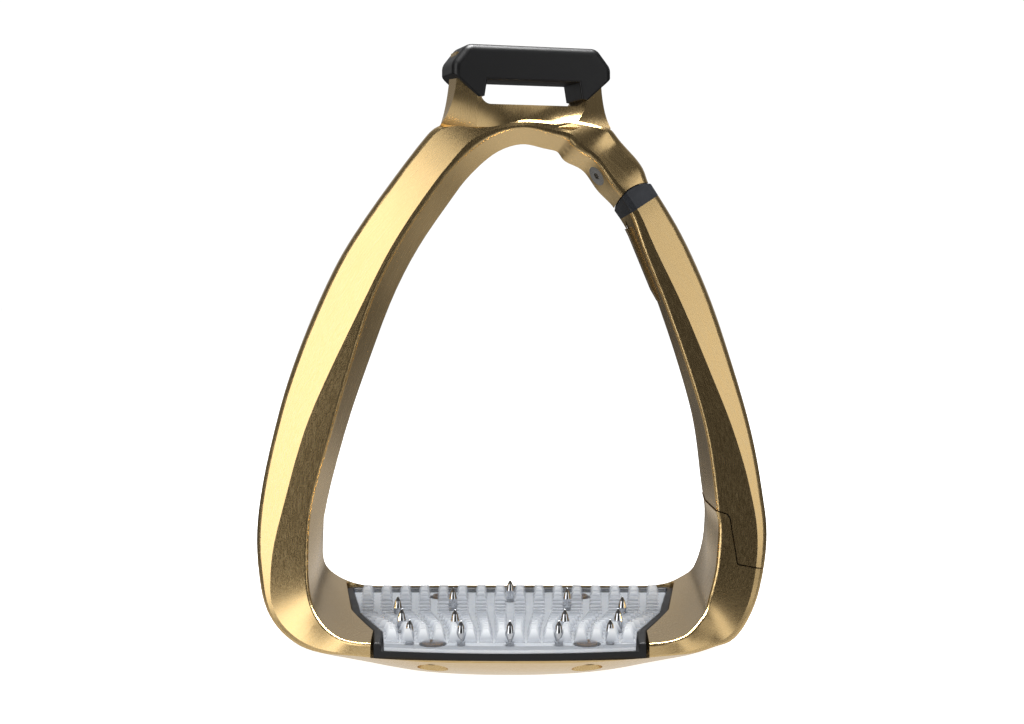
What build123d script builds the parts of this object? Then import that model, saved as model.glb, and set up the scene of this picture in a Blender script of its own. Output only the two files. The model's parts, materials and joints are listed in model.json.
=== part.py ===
from build123d import *
import math
import os

os.makedirs("parts", exist_ok=True)

# Stirrup iron with an outward-opening arm. Millimetres. X runs across the foot, Y along the foot
# (the foot enters from -Y), Z up. The origin is where the stirrup leather bears under the eye bar.

# ---- driving dimensions --------------------------------------------------------------------
WIDTH_SCALE = 1.0      # stretches the whole iron across the foot
DEPTH_SCALE = 1.0      # stretches the arms and platform along the foot
EYE_YAW = 18.0         # the eye is turned so the tread sits square to the horse
SLOT_W, SLOT_H = 33.2, 7.2
EYE_W, EYE_D = 47.6, 12.6
BAR_Z0, BAR_Z1 = 2.0, 8.4
GUARD_SKIN = 1.0
FACET = math.tan(math.radians(19.0))   # slope of the outward facet of the arms
PIVOT_X, PIVOT_Z = 36.8, -41.0
HINGE_LEAN = 57.2      # arm direction at the hinge, degrees below horizontal
SEAT_R, COLLAR_R = 10.55, 10.2
COLLAR_FOOT = 4.1      # height of the collar's straight lower edge above the pivot
PIN_R, PIN_RUN = 1.75, 0.04
BUSH_R = PIN_R + 0.85
LUG_T = 6.0
SLOT_T = LUG_T + 0.6
CAM_R0, CAM_RISE, SWING = 4.6, 1.8, 75.0
PLUNGER_R = 2.5
BORE_R = PLUNGER_R + 0.1
SPRING_WIRE, SPRING_COILS = 0.7, 6
FLOOR_Z, PAD_Z, GLOW_Z, PLATE_Z = -166.1, -164.1, -163.15, -162.0
RIM_Z = -161.7
MID_X = -5.0           # the tread's centre line
TREAD_HOLE_X, TREAD_HOLE_Y = 22.0, (-30.5, 30.0)
STUD_R, STUD_H = 1.35, 6.0
SEAM_GAP = 0.36

# ---- the ring ------------------------------------------------------------------------------
# Each station is a slice across the ring: inner point, outer edge, front / middle / rear offset
# of the inner side, front and rear half depth, place of the crease, bulge of the outer side and
# extra drop of the rear underside.
BASE = ((-5, -161.5), (-5, -166.8), 0, .06, 0, 38.1, 40.5, .92, 11.2, 0)
TOE1 = ((-29, -161.5), (-29.4, -166.6), 0, .06, 0, 37.3, 40.5, .92, 10.2, .3)
TOE2 = ((-46, -161.6), (-47.3, -165.6), 0, .08, 0, 35.3, 40.5, .88, 7.6, 1.2)
BEND1 = ((-53.6, -160.7), (-56.4, -165.4), 0, .5, .6, 33.0, 40.3, .82, 5.6, 2.2)
BEND2 = ((-59.1, -157.2), (-66.2, -164.3), 0, 1.2, 1.9, 28.5, 38.6, .82, 3.0, 2.2)
BEND3 = ((-62.6, -151.7), (-75.2, -156.3), 0, 1.4, 2.3, 24.0, 30.5, .84, 2.0, .6)
LEFT = [
    ((-63.0, -141.1), (-79.0, -141.1), .9, 0, 1.5, 21.0, 22.5, .70, 1.3, 0),
    ((-60.3, -125.4), (-78.8, -125.4), 2.7, 0, 2.7, 19.2, 19.2, .52, 1.0, 0),
    ((-54.5, -103.7), (-74.7, -103.7), 2.8, 0, 2.8, 17.2, 17.2, .46, 1.0, 0),
    ((-48.6, -86.2), (-69.4, -85.1), 3.8, 0, 3.8, 15.0, 15.0, .32, 1.0, 0),
    ((-40.9, -65.6), (-60.5, -62.8), 4.9, 0, 4.9, 12.6, 12.6, .14, .9, 0),
    ((-33.4, -50.8), (-52.3, -47.3), 5.2, 0, 5.2, 11.0, 11.0, .12, .8, 0),
    ((-22.4, -34.6), (-35.7, -23.8), 5.1, 0, 5.1, 9.4, 9.4, .12, .7, 0),
    ((-17.2, -27.9), (-28.6, -15.2), 5.0, 0, 5.0, 8.8, 8.8, .12, .6, 0),
    ((-12.3, -23.4), (-23.4, -12.6), 4.9, 0, 4.9, 8.4, 8.4, .2, .5, 0),
    ((-7.1, -20.0), (-12.0, -12.4), 4.6, 0, 4.6, 8.3, 8.3, .3, .4, 0),
]
CROWN = ((-0.8, -18.6), (-0.6, -11.6), 4.4, 0, 4.4, 8.3, 8.3, .3, .4, 0)
RIGHT = [
    ((5.7, -20.0), (11.0, -12.2), 4.5, 0, 4.5, 8.3, 8.3, .3, .4, 0),
    ((12.4, -23.4), (22.6, -13.2), 4.6, 0, 4.6, 8.4, 8.4, .2, .5, 0),
    ((17.9, -27.9), (30.0, -19.8), 4.3, 0, 4.3, 8.5, 8.5, .14, .6, 0),
    ((22.4, -33.3), (34.6, -26.8), 3.9, 0, 3.9, 8.9, 8.9, .18, .6, 0),
    ((28.3, -40.9), (40.4, -36.0), 2.9, 0, 2.9, 9.5, 9.5, .24, .7, 0),
    ((34.0, -51.4), (47.1, -47.8), .9, 0, .9, 10.5, 10.5, .28, .8, 0),
    ((40.4, -67.4), (54.5, -64.9), .7, 0, .7, 12.0, 12.0, .36, .9, 0),
    ((46.4, -86.3), (61.2, -85.5), 1.2, 0, 1.2, 14.4, 14.4, .46, 1.0, 0),
    ((51.4, -103.8), (66.2, -103.8), 1.1, 0, 1.1, 16.6, 16.6, .60, 1.0, 0),
    ((54.0, -121.2), (69.2, -121.2), 1.0, 0, 1.0, 18.4, 18.4, .74, 1.0, 0),
    ((55.2, -137.1), (70.2, -137.1), .6, 0, 1.6, 20.4, 21.6, .80, 1.3, 0),
]


def across(station):
    """The same slice on the other side of the tread's centre line."""
    (px, pz), (qx, qz), *rest = station
    return ((2 * MID_X - px, pz), (2 * MID_X - qx, qz), *rest)


def stretched(station):
    (px, pz), (qx, qz), uf, um, ur, df, dr, f, bulge, drop = station
    w, d = WIDTH_SCALE, DEPTH_SCALE
    return (px * w, pz, qx * w, qz, uf, um, ur, df * d, dr * d, f, bulge, drop)


def slices(stations, step):
    """Evenly spaced slices on a smooth curve through the stations."""
    v = [stretched(s) for s in stations]
    t = [0.0]
    for a, b in zip(v, v[1:]):
        t.append(t[-1] + math.hypot((a[0] + a[2] - b[0] - b[2]) / 2, (a[1] + a[3] - b[1] - b[3]) / 2))

    def slope(i, k):
        lo, hi = max(i - 1, 0), min(i + 1, len(v) - 1)
        return (v[hi][k] - v[lo][k]) / (t[hi] - t[lo])

    count = round(t[-1] / step)
    for j in range(count + 1):
        s = t[-1] * j / count
        i = max(n for n in range(len(t) - 1) if t[n] <= s + 1e-9)
        h = t[i + 1] - t[i]
        q = (s - t[i]) / h
        yield [
            (2 * q**3 - 3 * q**2 + 1) * v[i][k] + (q**3 - 2 * q**2 + q) * h * slope(i, k)
            + (3 * q**2 - 2 * q**3) * v[i + 1][k] + (q**3 - q**2) * h * slope(i + 1, k)
            for k in range(len(v[0]))
        ]


def eased(a, b, c, reach):
    """Start, middle and end of the arc that eases corner b between a and c."""
    la, lc = math.dist(a, b), math.dist(c, b)
    t = min(reach, 0.45 * la, 0.45 * lc)
    ua = ((a[0] - b[0]) / la, (a[1] - b[1]) / la)
    uc = ((c[0] - b[0]) / lc, (c[1] - b[1]) / lc)
    m = math.hypot(ua[0] + uc[0], ua[1] + uc[1])
    half = math.acos(min(1.0, m / 2))
    g = t * (1 - math.sin(half)) / math.cos(half)
    mid = (b[0] + (ua[0] + uc[0]) / m * g, b[1] + (ua[1] + uc[1]) / m * g)
    return (b[0] + ua[0] * t, b[1] + ua[1] * t), mid, (b[0] + uc[0] * t, b[1] + uc[1] * t)


def slice_sketch(values):
    px, pz, qx, qz, uf, um, ur, df, dr, f, bulge, drop = values
    span = math.hypot(qx - px, qz - pz)
    ux, uz = (qx - px) / span, (qz - pz) / span
    plane = Plane(origin=(px, 0, pz), x_dir=(ux, 0, uz), z_dir=(-uz, 0, ux))

    def side(u, d, sign, end):
        c = u + f * (end - u)
        dc = d - 0.03 * (c - u)
        return (u, sign * d), (c, sign * dc), (end, sign * (dc - FACET * (end - c)))

    r0, c0, o0 = side(uf, df, -1, span)
    r1, c1, o1 = side(ur, dr, 1, span + drop)
    apex = (min(um, (uf + ur) / 2 + 0.06) if um > (uf + ur) / 2 else um, 0)
    if abs(apex[0] - (uf + ur) / 2) < 0.06:
        apex = ((uf + ur) / 2 + 0.06, 0)
    back = (span + drop / 2 + bulge, 0)
    a0, m0, b0 = eased(back, o0, c0, 1.4)
    a1, m1, b1 = eased(c1, o1, back, 1.4)
    e0, n0, g0 = eased(c0, r0, apex, 1.0)
    e1, n1, g1 = eased(apex, r1, c1, 1.0)
    with BuildSketch(plane) as out:
        with BuildLine():
            ThreePointArc(a0, m0, b0)
            Line(b0, c0)
            Line(c0, e0)
            ThreePointArc(e0, n0, g0)
            Line(g0, apex)
            Line(apex, e1)
            ThreePointArc(e1, n1, g1)
            Line(g1, c1)
            Line(c1, a1)
            ThreePointArc(a1, m1, b1)
            ThreePointArc(b1, back, a0)
        make_face()
    return out.sketch


half_base = [BASE, TOE1, TOE2, BEND1, BEND2, BEND3]
ring = RIGHT[-2:] + [across(s) for s in half_base[:0:-1]] + half_base + LEFT + [CROWN] + RIGHT[:6]
arm_run = RIGHT[1:] + [across(s) for s in half_base[:2:-1]]

hinge = Plane(
    origin=(PIVOT_X, 0, PIVOT_Z),
    x_dir=(math.sin(math.radians(HINGE_LEAN)), 0, math.cos(math.radians(HINGE_LEAN))),
    z_dir=(0, -1, 0),
)
eye = Plane(
    origin=(0, 0, 0),
    x_dir=(math.cos(math.radians(EYE_YAW)), math.sin(math.radians(EYE_YAW)), 0),
    z_dir=(math.sin(math.radians(EYE_YAW)), -math.cos(math.radians(EYE_YAW)), 0),
)


def tread_outline(grow, front, rear):
    """Plan outline of the tread: full width behind, narrowing to a bowed front edge."""
    w = WIDTH_SCALE
    return [
        (MID_X - (51.2 + grow) * w, rear), (MID_X - (45.7 + grow) * w, 3), (MID_X - (36.9 + grow) * w, -21),
        (MID_X - (35.6 + grow) * w, front + 3.2), (MID_X, front), (MID_X + (35.6 + grow) * w, front + 3.2),
        (MID_X + (36.9 + grow) * w, -21), (MID_X + (45.7 + grow) * w, 3), (MID_X + (51.2 + grow) * w, rear),
    ]


def tread_face(grow, front, rear, corner):
    p = tread_outline(grow, front, rear)
    with BuildSketch() as out:
        with BuildLine():
            Polyline(p[3], p[2], p[1], p[0], p[8], p[7], p[6], p[5])
            ThreePointArc(p[5], p[4], p[3])
        make_face()
        rear_corners = out.vertices().sort_by(Axis.Y)[-2:]
        fillet(rear_corners, corner)
    return out.sketch


STUDS = [(0, 23.0)] + [
    (s * x, y) for s in (-1, 1) for x, y in
    ((17.8, 11.2), (34.1, -1.0), (16.1, -17.9), (31.8, -17.0), (13.9, -32.0), (28.6, -30.6))
] + [(0, -32.2)]
stud_places = [(MID_X + x * WIDTH_SCALE, y) for x, y in STUDS]
hole_places = [(MID_X + s * TREAD_HOLE_X * WIDTH_SCALE, y) for s in (-1, 1) for y in TREAD_HOLE_Y]

# the seam of the lap joint at the foot of the release arm
SEAM = [(40, -124.6), (55.7, -127.2), (58.6, -128.1), (59.4, -129.2), (61.3, -142.4), (69.4, -143.9), (86, -147)]


def seam_side(upper):
    far = [(86, -100), (40, -100)] if upper else [(86, -185), (40, -185)]
    with BuildSketch(Plane.XZ) as out:
        with BuildLine():
            Polyline(*SEAM, *far, close=True)
        make_face()
        inner = [v for v in out.vertices() if 58 < v.X < 62]
        fillet(inner, 0.8)
        offset(amount=SEAM_GAP / 2, kind=Kind.INTERSECTION)
    return out.sketch


# the screw that holds the lug, square to the inner bevel of the stub
screw_at = hinge.from_local_coords((-6.5, 19.0, 4.2))
screw_out = hinge.x_dir * -0.892 + Vector(0, -0.451, 0)
screw_plane = Plane(origin=screw_at, x_dir=hinge.y_dir, z_dir=screw_out)

# the plunger points from the pivot down the middle of the arm
LEAN_IN = -98.8
plunger_dir = hinge.x_dir * math.cos(math.radians(LEAN_IN)) + hinge.y_dir * math.sin(math.radians(LEAN_IN))
plunger = Plane(origin=(PIVOT_X, 0, PIVOT_Z), x_dir=(0, 1, 0), z_dir=Vector(0, 1, 0).cross(plunger_dir))


def octagon(wide, deep, cut_x, cut_y):
    """Section of the neck and eye: a flat front and back with a facet down each corner."""
    w, d = wide / 2, deep / 2
    with BuildSketch() as out:
        with BuildLine():
            Polyline((cut_x - w, -d), (w - cut_x, -d), (w, cut_y - d), (w, d - cut_y), (w - cut_x, d),
                     (cut_x - w, d), (-w, d - cut_y), (-w, cut_y - d), close=True)
        make_face()
    return out.sketch


# ---- frame: eye, arch, left arm, platform and the two right-hand stubs, in one piece ---------
with BuildPart() as frame:
    for values in slices(ring, 7.0):
        add(slice_sketch(values))
    loft()
    # the eye block grows out of the crown and turns as it rises
    with BuildSketch(Plane.XY.offset(-13.9)):
        with Locations((-0.7, 0)):
            add(octagon(52.4, 15.6, 12.0, 4.6))
    with BuildSketch(Plane(origin=(-0.3, 0, -7.0), x_dir=eye.x_dir, z_dir=(0, 0, 1))):
        add(octagon(EYE_W + 1.0, EYE_D + 0.6, 7.0, 3.2))
    with BuildSketch(Plane(origin=(0, 0, BAR_Z1), x_dir=eye.x_dir, z_dir=(0, 0, 1))):
        add(octagon(EYE_W - 1.4, EYE_D - 0.8, 4.5, 3.0))
    loft()
    with BuildSketch(eye):
        with Locations((0, (BAR_Z0 - SLOT_H) / 2)):
            RectangleRounded(SLOT_W, SLOT_H + BAR_Z0, 3.4)
    extrude(amount=20, both=True, mode=Mode.SUBTRACT)
    # bed for the tread
    with BuildSketch(Plane.XY.offset(FLOOR_Z)):
        add(tread_face(3.0, -60, 38.7 * DEPTH_SCALE, 3.0))
    extrude(amount=12, mode=Mode.SUBTRACT)
    # four countersunk holes from below
    for x, y in hole_places:
        with BuildSketch(Plane(origin=(x, y, 0), x_dir=(1, 0, 0), z_dir=(0, -1, 0))):
            with BuildLine():
                Polyline((0, -190), (4.4, -190), (4.4, -168.2), (2.55, -166.35), (2.55, -165), (0, -165), close=True)
            make_face()
        revolve(axis=Axis((x, y, 0), (0, 0, 1)), mode=Mode.SUBTRACT)
    # rounded seat for the collar, and the pocket for the lug
    with BuildSketch(hinge):
        Circle(SEAT_R)
        with Locations((0, -7.5)):
            Rectangle(34, 15)
    extrude(amount=30, both=True, mode=Mode.SUBTRACT)
    with BuildSketch(hinge):
        with Locations((0, 15.2)):
            Rectangle(6.6, 20.4)
    extrude(amount=LUG_T / 2 + 0.1, both=True, mode=Mode.SUBTRACT)
    with BuildSketch(Plane(origin=screw_at, x_dir=hinge.y_dir, z_dir=hinge.y_dir.cross(screw_out))):
        with BuildLine():
            Polyline((0, 3), (3.25, 3), (3.25, 0), (1.75, -1.6), (1.75, -7.6), (0, -7.6), close=True)
        make_face()
    revolve(axis=Axis(screw_at, screw_out), mode=Mode.SUBTRACT)
    # lap joint: the stub keeps what lies under the seam
    with BuildSketch(Plane.XZ):
        add(seam_side(True))
    extrude(amount=40, both=True, mode=Mode.SUBTRACT)

# ---- eye guard: a moulded sleeve round the top bar, with feet in the slot's upper corners ------
with BuildPart() as eye_guard:
    with BuildSketch(eye) as guard_face:
        with BuildLine():
            Polyline((-25.2, 1.6), (-17.4, -5.2), (-15.4, -4.9), (-14.6, 0), (14.6, 0), (15.4, -4.9),
                     (17.4, -5.2), (25.2, 1.6), (25.2, 4.8), (20.6, 10.6), (-20.6, 10.6), (-25.2, 4.8), close=True)
        make_face()
        corners = guard_face.vertices().sort_by(Axis.Y)
        fillet(corners[-4:], 3.6)
    extrude(amount=EYE_D / 2 + GUARD_SKIN, both=True)
    outer = [e for e in eye_guard.edges() if e.length > 5 and e.center().Z > 4 and
             abs(eye.to_local_coords(e.center()).Z) > 6]
    fillet(outer, 2.2)
    lower = [e for e in eye_guard.edges() if -5 < e.center().Z < 1.5 and
             abs(eye.to_local_coords(e.center()).Z) > EYE_D / 2 + GUARD_SKIN - 0.1]
    fillet(lower, 0.6)
    add(frame.part, mode=Mode.SUBTRACT)

# ---- hinge lug: a blade let into the stub, with an eye and a spiral cam at its lower end --------
r0 = CAM_R0
spiral = []
for n in range(9):
    a = math.radians(LEAN_IN + SWING * n / 8)
    r = r0 + CAM_RISE * n / 8
    spiral.append((r * math.cos(a), r * math.sin(a)))
tip = math.radians(LEAN_IN + SWING + 9)
r1 = r0 + CAM_RISE
with BuildPart() as hinge_lug:
    with BuildSketch(hinge):
        with BuildLine():
            Polyline((r1 * math.cos(tip), r1 * math.sin(tip)), (3.25, 4.6), (3.25, 25.0), (-3.25, 25.0),
                     (-3.25, math.sqrt(r0 * r0 - 3.25**2)))
            ThreePointArc((-3.25, math.sqrt(r0 * r0 - 3.25**2)), (-r0, 0), spiral[0])
            Spline(*spiral)
            Line(spiral[-1], (r1 * math.cos(tip), r1 * math.sin(tip)))
        make_face()
        Circle(BUSH_R, mode=Mode.SUBTRACT)
    extrude(amount=LUG_T / 2, both=True)
    with BuildSketch(screw_plane):
        Circle(1.62)
    extrude(amount=-9.2, mode=Mode.SUBTRACT)

with BuildPart() as lug_screw:
    with BuildSketch(screw_plane.offset(-0.1)):
        Circle(3.15)
    with BuildSketch(screw_plane.offset(-1.66)):
        Circle(1.6)
    loft()
    with BuildSketch(screw_plane.offset(-1.6)):
        Circle(1.6)
    extrude(amount=-7.4)
    with BuildSketch(screw_plane):
        RegularPolygon(1.15, 6)
    extrude(amount=-1.3, mode=Mode.SUBTRACT)

with BuildPart() as pivot_bush:
    with BuildSketch(hinge):
        Circle(BUSH_R)
        Circle(PIN_R + PIN_RUN, mode=Mode.SUBTRACT)
    extrude(amount=LUG_T / 2, both=True)

# ---- release arm: the outer arm below the hinge, forked round the lug --------------------------
with BuildPart() as arm_blank:
    for values in slices(arm_run, 7.0):
        add(slice_sketch(values))
    loft()


# room for the lug, which swings out through the back of the fork as the arm opens
with BuildPart() as fork_room:
    with BuildSketch(hinge.offset(-SLOT_T / 2)):
        with BuildLine():
            Polyline((0.93, -3.48), (16, 0.6), (16, 14), (-3.55, 14), (-3.55, 0), close=True)
        make_face()
    extrude(amount=SLOT_T)
    with BuildSketch(hinge.offset(-SLOT_T / 2)):
        Circle(6.9)
    extrude(amount=SLOT_T)

with BuildPart() as collar_room:
    with BuildSketch(hinge.offset(-20)):
        Circle(COLLAR_R)
        with Locations((0, COLLAR_FOOT - 30)):
            Rectangle(60, 60, mode=Mode.SUBTRACT)
    extrude(amount=40)

PEGS = [(0.5, -6.3), (0.5, 6.3)]
peg_plane = Plane(origin=hinge.from_local_coords((0, 2.5, 0)), x_dir=hinge.x_dir, z_dir=hinge.y_dir)
with BuildPart() as release_arm:
    add(arm_blank.part)
    with BuildSketch(hinge):
        with Locations((0, COLLAR_FOOT + 30)):
            Rectangle(90, 60)
    extrude(amount=40, both=True, mode=Mode.SUBTRACT)
    with BuildSketch(Plane.XZ):
        add(seam_side(False))
    extrude(amount=60, both=True, mode=Mode.SUBTRACT)
    # low boss over the spring chamber, on the inner side
    with BuildSketch(Plane.XZ):
        with BuildLine():
            Polyline((30.2, -44.4), (31.3, -46.6), (38.0, -62.9), (40.0, -66.4), (45, -64), (36, -44), close=True)
        make_face()
    extrude(amount=3.9, both=True)
    add(fork_room.part, mode=Mode.SUBTRACT)
    with BuildSketch(Plane(origin=plunger.origin, x_dir=(0, 1, 0), z_dir=plunger_dir)):
        Circle(BORE_R)
    extrude(amount=26.2, mode=Mode.SUBTRACT)
    with BuildSketch(Plane.XZ.offset(7.4)):
        with Locations((PIVOT_X, PIVOT_Z)):
            Circle(PIN_R)
    extrude(amount=-20, mode=Mode.SUBTRACT)
    with BuildSketch(peg_plane):
        with Locations(*PEGS):
            Circle(1.0)
    extrude(amount=4.0)

with BuildPart() as hinge_collar:
    add(arm_blank.part)
    add(collar_room.part, mode=Mode.INTERSECT)
    add(fork_room.part, mode=Mode.SUBTRACT)
    with BuildSketch(peg_plane):
        with Locations(*PEGS):
            Circle(1.03)
    extrude(amount=4.1, mode=Mode.SUBTRACT)

with BuildPart() as hinge_pin:
    with BuildSketch(Plane.XZ.offset(7.3)):
        with Locations((PIVOT_X, PIVOT_Z)):
            Circle(PIN_R)
    extrude(amount=-16.4)

# ---- plunger and spring inside the arm ---------------------------------------------------------
with BuildPart() as cam_plunger:
    with BuildSketch(plunger):
        with BuildLine():
            top = CAM_R0 + 0.35
            ThreePointArc((0, top), (1.45, top + 0.45), (PLUNGER_R, top + 1.6))
            Polyline((PLUNGER_R, top + 1.6), (PLUNGER_R, 11.6), (1.3, 11.6), (1.3, 14.0), (0, 14.0), (0, top))
        make_face()
    revolve(axis=Axis((PIVOT_X, 0, PIVOT_Z), plunger_dir))

with BuildPart() as return_spring:
    seat = 11.7 + SPRING_WIRE / 2
    turns = 26.1 - SPRING_WIRE / 2 - seat
    with BuildLine() as coil:
        Helix(turns / SPRING_COILS, turns, 1.95, center=plunger.origin + plunger_dir * seat, direction=plunger_dir)
    with BuildSketch(Plane(origin=coil.line @ 0, z_dir=coil.line % 0)):
        Circle(SPRING_WIRE / 2)
    sweep()

# ---- tread: shock pad, bright backing, clear toothed plate, studs and fixings -------------------
with BuildPart() as shock_pad:
    with BuildSketch(Plane.XY.offset(FLOOR_Z)):
        add(tread_face(2.9, -37.9, 38.6 * DEPTH_SCALE, 2.9))
    extrude(amount=PAD_Z - FLOOR_Z)
    with BuildSketch(Plane.XY.offset(PAD_Z)):
        add(tread_face(2.9, -37.9, 38.6 * DEPTH_SCALE, 2.9))
        add(tread_face(0.15, -60, 36.35 * DEPTH_SCALE, 0.8), mode=Mode.SUBTRACT)
    extrude(amount=RIM_Z - PAD_Z)
    rim = shock_pad.faces().sort_by(Axis.Z)[-1].outer_wire().edges()
    fillet(rim, 0.7)
    with BuildSketch(Plane.XY.offset(FLOOR_Z - 1)):
        with Locations(*hole_places):
            Circle(4.0)
        with Locations(*stud_places):
            Circle(2.15)
    extrude(amount=PAD_Z - FLOOR_Z + 2, mode=Mode.SUBTRACT)

with BuildPart() as tread_backing:
    with BuildSketch(Plane.XY.offset(PAD_Z)):
        add(tread_face(0, -37.6, 36.2 * DEPTH_SCALE, 0.8))
        with Locations(*hole_places):
            Circle(4.0, mode=Mode.SUBTRACT)
        with Locations(*stud_places):
            Circle(1.2, mode=Mode.SUBTRACT)
    extrude(amount=GLOW_Z - PAD_Z)


def gather(y):
    """How far the rows of teeth draw together towards the front, as a share of their rear width."""
    steps = ((36.0, 1.0), (3.0, 0.935), (-21.0, 0.742), (-40.0, 0.70))
    for (ya, a), (yb, b) in zip(steps, steps[1:]):
        if y >= yb:
            return b + (a - b) * (y - yb) / (ya - yb)
    return steps[-1][1]


TOOTH_ROWS, TOOTH_LINES, LINE_PITCH = 16, 16, 4.37
with BuildPart() as tread_plate:
    with BuildSketch(Plane.XY.offset(GLOW_Z)):
        add(tread_face(0, -37.6, 36.2 * DEPTH_SCALE, 0.8))
    extrude(amount=PLATE_Z - GLOW_Z)
    for n in range(TOOTH_LINES):
        y = 33.4 * DEPTH_SCALE - n * LINE_PITCH
        height = 0.5 + (2.7 * ((y - 8) / 26) ** 1.5 if y > 8 else 3.2 * ((8 - y) / 40) ** 1.2)
        lean = math.degrees(math.atan(min(1.3, 0.55 * height) / height))
        with BuildSketch(Plane.XY.offset(PLATE_Z)):
            for side in (-1, 1):
                for i in range(TOOTH_ROWS // 2):
                    with Locations((MID_X + side * WIDTH_SCALE * gather(y) * (3.25 + 6.2 * i), y)):
                        Rectangle(3.9, 3.7)
        extrude(amount=height, taper=lean)
    with BuildSketch(Plane.XY.offset(FLOOR_Z + 0.1)):
        with Locations(*hole_places):
            Circle(3.9)
    extrude(amount=GLOW_Z - FLOOR_Z)
    with BuildSketch(Plane.XY.offset(FLOOR_Z)):
        with Locations(*hole_places):
            Circle(3.0)
    extrude(amount=3.6, mode=Mode.SUBTRACT)
    with BuildSketch(Plane.XY.offset(GLOW_Z - 1)):
        with Locations(*stud_places):
            Circle(1.2)
    extrude(amount=3, mode=Mode.SUBTRACT)
    with BuildSketch(Plane.XY.offset(PLATE_Z)):
        with Locations(*stud_places):
            Circle(1.65)
    extrude(amount=6, mode=Mode.SUBTRACT)

with BuildPart() as tread_studs:
    for x, y in stud_places:
        with BuildSketch(Plane(origin=(x, y, PLATE_Z), x_dir=(1, 0, 0), z_dir=(0, -1, 0))):
            with BuildLine():
                Polyline((0, STUD_H), (0, -3.8), (1.1, -3.8), (1.1, 0), (STUD_R, 0), (STUD_R, STUD_H * 0.42),
                         (STUD_R * 0.62, STUD_H * 0.76), (0, STUD_H))
            make_face()
        revolve(axis=Axis((x, y, 0), (0, 0, 1)))

with BuildPart() as stud_nuts:
    with BuildSketch(Plane.XY.offset(FLOOR_Z + 0.2)):
        with Locations(*stud_places):
            RegularPolygon(2.0, 6)
            Circle(1.12, mode=Mode.SUBTRACT)
    extrude(amount=PAD_Z - FLOOR_Z - 0.25)

with BuildPart() as tread_inserts:
    with BuildSketch(Plane.XY.offset(FLOOR_Z + 0.1)):
        with Locations(*hole_places):
            Circle(3.0)
            Circle(2.47, mode=Mode.SUBTRACT)
    extrude(amount=3.4)

with BuildPart() as tread_screws:
    for x, y in hole_places:
        with BuildSketch(Plane(origin=(x, y, 0), x_dir=(1, 0, 0), z_dir=(0, -1, 0))):
            with BuildLine():
                Polyline((0, -168.1), (4.3, -168.1), (2.45, -166.25), (2.45, -163.3), (0, -163.3), close=True)
            make_face()
        revolve(axis=Axis((x, y, 0), (0, 0, 1)))
    with BuildSketch(Plane.XY.offset(-168.1)):
        with Locations(*hole_places):
            RegularPolygon(1.73, 6)
    extrude(amount=1.6, mode=Mode.SUBTRACT)

for name, built in {
    "frame": frame, "eye_guard": eye_guard, "hinge_lug": hinge_lug, "lug_screw": lug_screw,
    "pivot_bush": pivot_bush, "release_arm": release_arm, "hinge_collar": hinge_collar,
    "hinge_pin": hinge_pin, "cam_plunger": cam_plunger, "return_spring": return_spring,
    "shock_pad": shock_pad, "tread_backing": tread_backing, "tread_plate": tread_plate,
    "tread_studs": tread_studs, "stud_nuts": stud_nuts, "tread_inserts": tread_inserts,
    "tread_screws": tread_screws,
}.items():
    built.part.label = name
    export_step(built.part, f"parts/{name}.step")
    print(name, built.part.is_valid, len(built.part.solids()), round(built.part.volume, 1))
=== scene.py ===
import json
import math
import bpy
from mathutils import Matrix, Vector


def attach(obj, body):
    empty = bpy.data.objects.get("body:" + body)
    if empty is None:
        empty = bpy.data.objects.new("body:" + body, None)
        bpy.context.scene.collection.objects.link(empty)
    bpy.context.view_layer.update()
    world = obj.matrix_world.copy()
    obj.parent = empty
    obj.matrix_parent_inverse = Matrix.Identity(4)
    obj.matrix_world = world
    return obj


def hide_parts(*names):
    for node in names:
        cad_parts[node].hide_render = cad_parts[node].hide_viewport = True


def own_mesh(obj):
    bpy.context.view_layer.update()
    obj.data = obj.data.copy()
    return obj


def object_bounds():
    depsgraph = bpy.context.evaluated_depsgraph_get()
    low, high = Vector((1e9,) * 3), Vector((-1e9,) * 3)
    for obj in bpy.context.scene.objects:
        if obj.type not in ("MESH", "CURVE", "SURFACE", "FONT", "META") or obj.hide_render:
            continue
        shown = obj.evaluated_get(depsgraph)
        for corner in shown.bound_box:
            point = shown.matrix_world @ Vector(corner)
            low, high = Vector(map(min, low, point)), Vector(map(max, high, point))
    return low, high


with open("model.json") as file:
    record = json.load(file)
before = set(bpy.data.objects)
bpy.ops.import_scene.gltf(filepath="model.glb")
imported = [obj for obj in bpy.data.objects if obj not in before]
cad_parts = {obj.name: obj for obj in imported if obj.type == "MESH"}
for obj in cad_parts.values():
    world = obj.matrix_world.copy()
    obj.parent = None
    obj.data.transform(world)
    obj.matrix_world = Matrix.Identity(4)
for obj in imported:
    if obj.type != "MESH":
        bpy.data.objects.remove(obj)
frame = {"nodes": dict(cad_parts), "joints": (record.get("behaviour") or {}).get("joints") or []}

cad_low, cad_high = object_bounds()
MM = 0.001
nodes = frame["nodes"]

# ---- the ring's shape, for a brushed finish that follows it ----------------------------------
CENTRE_X = -0.005
RING_FOOT, RING_CROWN = -0.185, 0.015
# half the ring's width, in tenths of a metre, at shares of the height from foot to crown
HALF_WIDTHS = ((0.0, 0.50), (0.13, 0.62), (0.25, 0.705), (0.36, 0.70), (0.50, 0.60),
               (0.65, 0.44), (0.77, 0.26), (0.86, 0.16), (1.0, 0.16))
FOOT_TOP, FOOT_LOW = -0.150, -0.162     # between these the band turns from the arms to the foot


# ---- materials -------------------------------------------------------------------------------
def linear(hexa):
    """sRGB hex to the linear colour a shader works in."""
    out = []
    for i in (0, 2, 4):
        c = int(hexa[i:i + 2], 16) / 255
        out.append(c / 12.92 if c <= 0.04045 else ((c + 0.055) / 1.055) ** 2.4)
    return (*out, 1.0)


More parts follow.
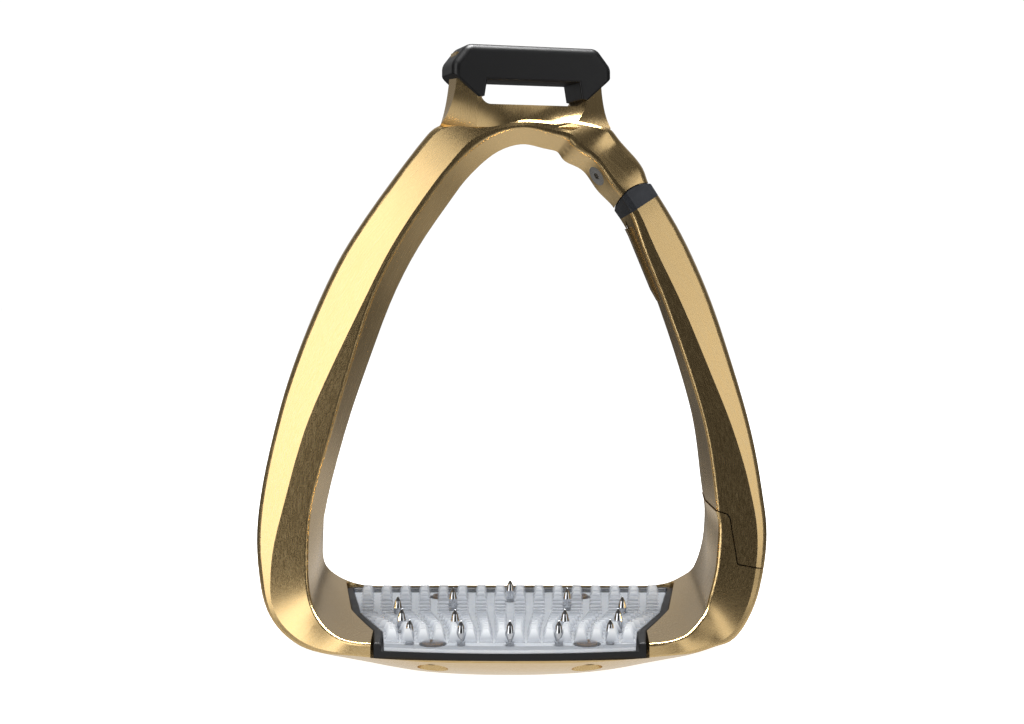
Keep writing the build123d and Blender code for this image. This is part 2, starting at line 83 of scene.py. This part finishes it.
def new_material(name):
    """An empty node material and its tree."""
    m = bpy.data.materials.new(name)
    m.use_nodes = True
    m.node_tree.nodes.clear()
    return m, m.node_tree


def add(tree, kind, settings=None, values=None, links=None):
    """Adds a node, with its settings, socket values and links into it."""
    node = tree.nodes.new(kind)
    for key, value in (settings or {}).items():
        setattr(node, key, value)
    for key, value in (values or {}).items():
        node.inputs[key].default_value = value
    for key, source in (links or {}).items():
        tree.links.new(source, node.inputs[key])
    return node


def ramp(node, stops):
    """Sets a colour ramp's stops from (place, hex or grey number)."""
    points = node.color_ramp.elements
    while len(points) < len(stops):
        points.new(0.5)
    for point, (place, colour) in zip(points, stops):
        point.position = place
        point.color = linear(colour) if isinstance(colour, str) else (colour, colour, colour, 1)
    return node


def along_ring(tree):
    """Noise space whose long direction follows the arms: across the band by y and by share of
    width, and on the foot by height instead."""
    place = add(tree, "ShaderNodeTexCoord").outputs["Object"]
    split = add(tree, "ShaderNodeSeparateXYZ", links={0: place})
    height = add(tree, "ShaderNodeMapRange", None, {1: RING_FOOT, 2: RING_CROWN},
                 {0: split.outputs["Z"]})
    width = add(tree, "ShaderNodeFloatCurve", links={"Value": height.outputs[0]})
    curve = width.mapping.curves[0]
    curve.points[0].location = HALF_WIDTHS[0]
    curve.points[1].location = HALF_WIDTHS[-1]
    for at in HALF_WIDTHS[1:-1]:
        curve.points.new(*at)
    width.mapping.update()
    half = add(tree, "ShaderNodeMath", {"operation": "MULTIPLY"}, {1: 0.1}, {0: width.outputs[0]})
    centred = add(tree, "ShaderNodeMath", {"operation": "ADD"}, {1: -CENTRE_X},
                  {0: split.outputs["X"]})
    share = add(tree, "ShaderNodeMath", {"operation": "DIVIDE"}, None,
                {0: centred.outputs[0], 1: half.outputs[0]})
    level = add(tree, "ShaderNodeMath", {"operation": "MULTIPLY"}, {1: 14.0},
                {0: split.outputs["Z"]})
    foot = add(tree, "ShaderNodeMapRange", {"interpolation_type": "SMOOTHSTEP"},
               {1: FOOT_TOP, 2: FOOT_LOW, 3: 0.0, 4: 1.0}, {0: split.outputs["Z"]})
    across = add(tree, "ShaderNodeMix", {"data_type": "FLOAT"}, None,
                 {0: foot.outputs[0], 2: share.outputs[0], 3: level.outputs[0]})
    return split, across, foot


def brushed_gold():
    """Anodised aluminium, brushed along the arms before a clear champagne-gold dye: a metal whose
    highlights draw out across the fine lines, with a paler bloom where the polish lingers."""
    m, t = new_material("Champagne_gold_anodised_aluminium_brushed")
    split, across, foot = along_ring(t)
    run = add(t, "ShaderNodeMix", {"data_type": "FLOAT"}, None,
              {0: foot.outputs[0], 2: split.outputs["Z"], 3: split.outputs["X"]})
    # brush lines are about 0.1 mm apart; drawn 0.25 mm so that they show, in streaks of 17 mm
    lines_per_half_width, lines_per_metre, streaks_per_metre = 300.0, 4000.0, 60.0
    stretches = ((across.outputs[0], lines_per_half_width), (split.outputs["Y"], lines_per_metre),
                 (run.outputs[0], streaks_per_metre))
    lines = add(t, "ShaderNodeCombineXYZ", links={
        axis: add(t, "ShaderNodeMath", {"operation": "MULTIPLY"}, {1: amount}, {0: source}).outputs[0]
        for axis, (source, amount) in enumerate(stretches)})
    fine = add(t, "ShaderNodeTexNoise", None, {"Scale": 1.0, "Detail": 3.0, "Roughness": 0.6},
               {"Vector": lines.outputs[0]})
    cloud = add(t, "ShaderNodeTexNoise", None, {"Scale": 38.0, "Detail": 2.0},
                {"Vector": add(t, "ShaderNodeTexCoord").outputs["Object"]})
    tone = ramp(add(t, "ShaderNodeValToRGB", None, None, {0: fine.outputs[0]}),
                ((0.25, "CFAE76"), (0.5, "DABB85"), (0.75, "E4C895")))
    bloom = ramp(add(t, "ShaderNodeValToRGB", None, None, {0: cloud.outputs[0]}),
                 ((0.3, 0.86), (0.7, 1.0)))
    shade = add(t, "ShaderNodeMix", {"data_type": "RGBA", "blend_type": "MULTIPLY"}, {0: 0.25},
                {6: tone.outputs[0], 7: bloom.outputs[0]})
    rough = add(t, "ShaderNodeMapRange", None, {1: 0.3, 2: 0.7, 3: 0.22, 4: 0.30},
                {0: fine.outputs[0]})
    bump = add(t, "ShaderNodeBump", None, {"Strength": 0.05, "Distance": 0.02 * MM},
               {"Height": fine.outputs[0]})
    skin = add(t, "ShaderNodeBsdfPrincipled", None, {"Metallic": 1.0, "Anisotropic": 0.35},
               {"Base Color": shade.outputs[2], "Roughness": rough.outputs[0],
                "Normal": bump.outputs[0]})
    add(t, "ShaderNodeOutputMaterial", None, None, {0: skin.outputs[0]})
    return m


def moulded(name, dark, light, low, high, grain_mm, depth_mm):
    """A moulded black part: faint grain from the tool and a soft sheen that varies a little."""
    m, t = new_material(name)
    place = add(t, "ShaderNodeTexCoord").outputs["Object"]
    grain = add(t, "ShaderNodeTexNoise", None, {"Scale": 1 / (grain_mm * MM), "Detail": 3.0},
                {"Vector": place})
    wear = add(t, "ShaderNodeTexNoise", None, {"Scale": 120.0, "Detail": 4.0, "Roughness": 0.65},
               {"Vector": place})
    tone = ramp(add(t, "ShaderNodeValToRGB", None, None, {0: wear.outputs[0]}),
                ((0.3, dark), (0.75, light)))
    rough = add(t, "ShaderNodeMapRange", None, {1: 0.3, 2: 0.7, 3: low, 4: high},
                {0: wear.outputs[0]})
    bump = add(t, "ShaderNodeBump", None, {"Strength": 0.5, "Distance": depth_mm * MM},
               {"Height": grain.outputs[0]})
    skin = add(t, "ShaderNodeBsdfPrincipled", None, {"IOR": 1.5},
               {"Base Color": tone.outputs[0], "Roughness": rough.outputs[0],
                "Normal": bump.outputs[0]})
    add(t, "ShaderNodeOutputMaterial", None, None, {0: skin.outputs[0]})
    return m


def turned(name, dark, light, low, high):
    """A turned or ground metal part: fine marks left by the tool, a little uneven in its shine."""
    m, t = new_material(name)
    place = add(t, "ShaderNodeTexCoord").outputs["Object"]
    marks = add(t, "ShaderNodeTexNoise", None, {"Scale": 2500.0, "Detail": 2.0}, {"Vector": place})
    patch = add(t, "ShaderNodeTexNoise", None, {"Scale": 300.0, "Detail": 3.0}, {"Vector": place})
    tone = ramp(add(t, "ShaderNodeValToRGB", None, None, {0: patch.outputs[0]}),
                ((0.3, dark), (0.7, light)))
    rough = add(t, "ShaderNodeMapRange", None, {1: 0.3, 2: 0.7, 3: low, 4: high},
                {0: marks.outputs[0]})
    bump = add(t, "ShaderNodeBump", None, {"Strength": 0.2, "Distance": 0.01 * MM},
               {"Height": marks.outputs[0]})
    skin = add(t, "ShaderNodeBsdfPrincipled", None, {"Metallic": 1.0},
               {"Base Color": tone.outputs[0], "Roughness": rough.outputs[0],
                "Normal": bump.outputs[0]})
    add(t, "ShaderNodeOutputMaterial", None, None, {0: skin.outputs[0]})
    return m


def clear_plastic():
    """Injection-moulded clear polycarbonate: the flats between the teeth show the film below, while
    the slopes of the teeth carry painted grey shade for the light they bend away, darkest towards the
    root."""
    m, t = new_material("Clear_polycarbonate_injection_moulded")
    tooth_root, tooth_tip = -0.162, -0.1590
    place = add(t, "ShaderNodeTexCoord").outputs["Object"]
    flow = add(t, "ShaderNodeTexNoise", None, {"Scale": 500.0, "Detail": 2.0}, {"Vector": place})
    normal = add(t, "ShaderNodeNewGeometry").outputs["Normal"]
    up = add(t, "ShaderNodeSeparateXYZ", links={0: normal}).outputs["Z"]
    slope = add(t, "ShaderNodeMapRange", None, {1: 0.97, 2: 0.85}, {0: up})
    height = add(t, "ShaderNodeSeparateXYZ", links={0: place}).outputs["Z"]
    rise = add(t, "ShaderNodeMapRange", None, {1: tooth_root, 2: tooth_tip}, {0: height})
    # painted shade: the tooth slopes are coloured grey, darkest at the root and palest at the tip
    painted_tooth_shade = ramp(add(t, "ShaderNodeValToRGB", None, None, {0: rise.outputs[0]}),
                 ((0.0, "858A92"), (0.3, "C2C7CE"), (1.0, "FAFCFE")))
    tint_with_painted_shade = add(t, "ShaderNodeMix", {"data_type": "RGBA"}, {6: linear("F4F8FC")},
               {0: slope.outputs[0], 7: painted_tooth_shade.outputs[0]})
    body = add(t, "ShaderNodeMapRange", None, {3: 0.04, 4: 0.5}, {0: slope.outputs[0]})
    rough = add(t, "ShaderNodeMapRange", None, {1: 0.3, 2: 0.7, 3: 0.05, 4: 0.14},
                {0: flow.outputs[0]})
    skin = add(t, "ShaderNodeBsdfPrincipled", None, {"IOR": 1.58},
               {"Base Color": tint_with_painted_shade.outputs[2], "Roughness": rough.outputs[0],
                "Alpha": body.outputs[0]})
    add(t, "ShaderNodeOutputMaterial", None, None, {0: skin.outputs[0]})
    return m


def silver_film():
    """Metallised film under the clear tread: near-white, bright and a little milky."""
    m, t = new_material("Silver_backing_film_metallised")
    place = add(t, "ShaderNodeTexCoord").outputs["Object"]
    mottle = add(t, "ShaderNodeTexNoise", None, {"Scale": 400.0, "Detail": 3.0}, {"Vector": place})
    tone = ramp(add(t, "ShaderNodeValToRGB", None, None, {0: mottle.outputs[0]}),
                ((0.3, "EEF3FA"), (0.7, "FBFDFF")))
    rough = add(t, "ShaderNodeMapRange", None, {1: 0.3, 2: 0.7, 3: 0.3, 4: 0.45},
                {0: mottle.outputs[0]})
    skin = add(t, "ShaderNodeBsdfPrincipled", None, {"IOR": 1.5},
               {"Base Color": tone.outputs[0], "Roughness": rough.outputs[0]})
    add(t, "ShaderNodeOutputMaterial", None, None, {0: skin.outputs[0]})
    return m


gold = brushed_gold()
guard_rubber = moulded("Black_rubber_compression_moulded", "070708", "0C0C0F", 0.38, 0.48,
                       grain_mm=0.35, depth_mm=0.01)
collar_nylon = moulded("Black_glass_filled_nylon_moulded", "1B1D21", "26282D", 0.40, 0.50,
                       grain_mm=0.25, depth_mm=0.01)
pad_rubber = moulded("Black_shock_pad_rubber_moulded", "060607", "111113", 0.42, 0.60,
                     grain_mm=0.30, depth_mm=0.015)
ground_steel = turned("Stainless_steel_ground", "9A9A9C", "B4B4B6", 0.22, 0.34)
screw_steel = turned("Stainless_steel_turned", "B0ACA6", "C8C5C0", 0.18, 0.30)
wire_steel = turned("Spring_steel_drawn", "7C7C80", "98989C", 0.25, 0.38)
bronze = turned("Sintered_bronze_turned", "A77A44", "BF9257", 0.28, 0.40)
stud_steel = turned("Hardened_steel_polished", "C2C4C8", "DADCE0", 0.08, 0.16)
polycarbonate = clear_plastic()
film = silver_film()

finishes = {
    "frame": gold, "release_arm": gold, "eye_guard": guard_rubber, "hinge_collar": collar_nylon,
    "shock_pad": pad_rubber, "hinge_lug": ground_steel, "cam_plunger": ground_steel,
    "hinge_pin": ground_steel, "lug_screw": screw_steel, "stud_nuts": screw_steel,
    "tread_screws": screw_steel, "return_spring": wire_steel, "pivot_bush": bronze,
    "tread_inserts": bronze, "tread_studs": stud_steel, "tread_plate": polycarbonate,
    "tread_backing": film,
}
for name, finish in finishes.items():
    mesh = nodes[name].data
    mesh.materials.clear()
    mesh.materials.append(finish)


# ---- return spring: wound wire along the plunger's bore, below the hinge pin ------------------
def wound_spring(name, turns, wire_r, coil_r, length):
    """Round wire along a helix, with sizes as named inputs, standing on the origin along Z."""
    group = bpy.data.node_groups.new(name, "GeometryNodeTree")
    face = group.interface
    face.new_socket("Geometry", in_out="OUTPUT", socket_type="NodeSocketGeometry")
    sizes = {"Turns": turns, "Wire radius": wire_r, "Coil radius": coil_r, "Length": length}
    for label, value in sizes.items():
        socket = face.new_socket(label, in_out="INPUT", socket_type="NodeSocketFloat")
        socket.default_value = value
    entry = add(group, "NodeGroupInput").outputs
    helix = add(group, "GeometryNodeCurveSpiral", None, {"Resolution": 24}, {
        "Rotations": entry["Turns"], "Start Radius": entry["Coil radius"],
        "End Radius": entry["Coil radius"], "Height": entry["Length"]})
    round_wire = add(group, "GeometryNodeCurvePrimitiveCircle", None, {"Resolution": 10},
                     {"Radius": entry["Wire radius"]})
    wire = add(group, "GeometryNodeCurveToMesh", None, {"Fill Caps": True},
               {"Curve": helix.outputs[0], "Profile Curve": round_wire.outputs[0]})
    single = add(group, "GeometryNodeRealizeInstances", links={0: wire.outputs[0]})
    finished = add(group, "GeometryNodeSetMaterial", None, {"Material": wire_steel},
                   {0: single.outputs[0]})
    add(group, "NodeGroupOutput", links={0: finished.outputs[0]})
    holder = bpy.data.objects.new(name, bpy.data.meshes.new(name))
    bpy.context.scene.collection.objects.link(holder)
    modifier = holder.modifiers.new("wind", "NODES")
    modifier.node_group = group
    for item in face.items_tree:
        if item.in_out == "INPUT":
            modifier[item.identifier] = sizes[item.name]
    made = bpy.data.meshes.new_from_object(
        holder.evaluated_get(bpy.context.evaluated_depsgraph_get()))
    holder.modifiers.clear()
    holder.data = made
    return holder


# places along the bore are measured from the hinge pin
spring_top, spring_end = 0.0117, 0.0261
wire_radius, coil_radius, spring_turns = 0.00035, 0.00195, 6.0
joints = {joint["name"]: joint for joint in frame["joints"]}
hinge_at = Vector(joints["arm_hinge"]["pos_m"])
down_bore = Vector(joints["plunger_slide"]["axis"]).normalized()
coil = wound_spring("wound_return_spring", spring_turns, wire_radius, coil_radius,
                    spring_end - spring_top - 2 * wire_radius)
turn = down_bore.to_track_quat("Z", "Y").to_matrix().to_4x4()
turn.translation = hinge_at + down_bore * (spring_top + wire_radius)
coil.data.transform(turn)
for polygon in coil.data.polygons:
    polygon.use_smooth = True
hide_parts("return_spring")
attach(coil, "arm")
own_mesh(coil)

# ---- floor: plain white to look at, and mirrored it is a painted pool of light, bright only close under the iron ---
bpy.ops.mesh.primitive_plane_add(size=6, location=(0, 0, cad_low.z - 0.0005))
floor = bpy.context.object
floor.name = "studio_floor"
paper, tree = new_material("White_studio_paper")
reach = add(tree, "ShaderNodeVectorMath", {"operation": "LENGTH"}, None,
            {0: add(tree, "ShaderNodeTexCoord").outputs["Object"]})
away = add(tree, "ShaderNodeMapRange", None, {1: 0.0, 2: 0.6}, {0: reach.outputs["Value"]})
# painted pool of light: in reflections and bounce light the floor glows, brightest close under the
# iron and fading outward
painted_glow_falloff = ramp(add(tree, "ShaderNodeValToRGB", None, None, {0: away.outputs[0]}),
            ((0.0, 0.85), (0.2, 0.7), (0.5, 0.14), (1.0, 0.06)))
painted_glow_pool = add(tree, "ShaderNodeEmission", None, {1: 1.0}, {0: painted_glow_falloff.outputs[0]})
plain = add(tree, "ShaderNodeBsdfPrincipled", None, {
    0: linear("D8D8D8"), "Roughness": 0.9, "Emission Color": (1, 1, 1, 1),
    "Emission Strength": 0.9})
pick = add(tree, "ShaderNodeMixShader", None, None, {
    0: add(tree, "ShaderNodeLightPath").outputs["Is Camera Ray"],
    1: painted_glow_pool.outputs[0], 2: plain.outputs[0]})
add(tree, "ShaderNodeOutputMaterial", None, None, {0: pick.outputs[0]})
floor.data.materials.append(paper)

# ---- room: white to look at, and dim for the metal to mirror, darkest around the viewer --------
world = bpy.data.worlds.new("studio")
bpy.context.scene.world = world
world.use_nodes = True
sky = world.node_tree
sky.nodes.clear()
facing = add(sky, "ShaderNodeSeparateXYZ",
             links={0: add(sky, "ShaderNodeTexCoord").outputs["Generated"]})
behind = add(sky, "ShaderNodeMapRange", None, {1: -1.0, 2: 1.0}, {0: facing.outputs["Y"]})
depth = ramp(add(sky, "ShaderNodeValToRGB", None, None, {0: behind.outputs[0]}),
             ((0.0, 0.03), (0.35, 0.08), (0.75, 0.14), (1.0, 0.4)))
mirrored = add(sky, "ShaderNodeBackground", None, {1: 1.0}, {0: depth.outputs[0]})
seen = add(sky, "ShaderNodeBackground", None, {0: (1, 1, 1, 1), 1: 1.05})
choice = add(sky, "ShaderNodeMixShader", None, None, {
    0: add(sky, "ShaderNodeLightPath").outputs["Is Camera Ray"],
    1: mirrored.outputs[0], 2: seen.outputs[0]})
add(sky, "ShaderNodeOutputWorld", None, None, {0: choice.outputs[0]})
bpy.context.scene.view_settings.view_transform = "Standard"


# ---- lights and camera -------------------------------------------------------------------------
def softbox(name, place, aim, width, height, power):
    """A rectangular white light that faces the point it aims at; its power is in watts."""
    light = bpy.data.lights.new(name, "AREA")
    light.shape = "RECTANGLE"
    light.size, light.size_y = width, height
    light.energy = power
    o = bpy.data.objects.new(name, light)
    o.location = place
    o.rotation_euler = (Vector(aim) - Vector(place)).to_track_quat("-Z", "Y").to_euler()
    bpy.context.scene.collection.objects.link(o)


middle = (CENTRE_X, 0, -0.09)
softbox("left_softbox", (-0.66, -0.72, 0.02), middle, 0.55, 1.1, 4.3)
softbox("right_softbox", (0.72, -0.66, 0.0), middle, 0.35, 0.9, 1.25)
softbox("top_softbox", (0, -0.05, 0.8), middle, 0.45, 0.45, 24)

# the camera stands level in front of the toe side, and its shift drops the view to the tread
lens = bpy.data.cameras.new("view")
lens.sensor_width = 36.0
lens.lens = 54.67
lens.shift_y = -0.1084
lens.clip_start = 0.01
camera = bpy.data.objects.new("view", lens)
camera.location = (-0.0044, -0.474, -0.0511)
camera.rotation_euler = (math.radians(90), 0, 0)
bpy.context.scene.collection.objects.link(camera)
bpy.context.scene.camera = camera
